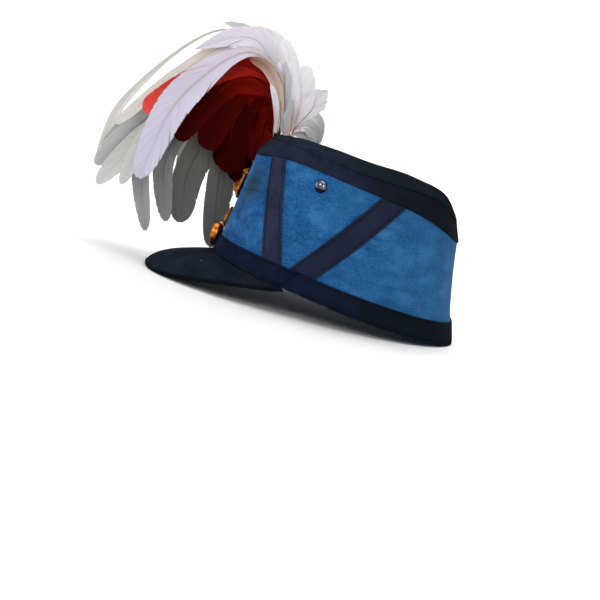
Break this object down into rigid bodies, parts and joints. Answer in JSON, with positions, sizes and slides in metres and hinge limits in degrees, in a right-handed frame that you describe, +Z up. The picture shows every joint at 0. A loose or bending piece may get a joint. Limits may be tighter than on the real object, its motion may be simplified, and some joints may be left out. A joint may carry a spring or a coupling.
{
  "type": "shako hat",
  "caption": "Low felt shako with cloth bands, a drooping cloth peak, gilt badges, side studs and a drooping plume of white and red feathers.",
  "frame": {"origin": "on the surface the hat stands on, under the middle of its bounding box", "axes": "+Z up, -Y the way the front looks, +X the wearer's left; the hat stands tipped back 8.4 degrees on its peak and the back of its rim"},
  "size_m": [0.1694, 0.3316, 0.203],
  "materials": {
    "blue_felt": "matte brushed felt, mottled with wear",
    "navy_band_cloth": "matte woven cloth",
    "navy_ribbon": "ribbed ribbon with stitched edges",
    "navy_top_cloth": "matte woven cloth",
    "navy_peak_cloth": "matte plain cloth over a stiff peak",
    "nickel": "polished nickel",
    "gilt": "gilt brass, softly polished",
    "socket_cloth": "matte cloth",
    "feather_white": "soft feather barbs, white with a lilac cast",
    "feather_red": "soft feather barbs, dark red with bright tips",
    "quill": "smooth horn-like shaft, cream to peach",
    "navy_thread": "twisted sewing thread"
  },
  "bodies": {
    "root": {"badge_boss": "gilt", "band_button": "gilt", "crest_badge": "gilt", "crown_top": "navy_top_cloth", "crown_wall": "blue_felt", "head_band": "navy_band_cloth", "peak": "navy_peak_cloth", "plume": "feather_white", "plume_socket": "socket_cloth", "ribbon_left_back": "navy_ribbon", "ribbon_left_front": "navy_ribbon", "ribbon_right_back": "navy_ribbon", "ribbon_right_front": "navy_ribbon", "stud_left": "nickel", "stud_right": "nickel", "top_band": "navy_band_cloth"}
  },
  "joints": []
}
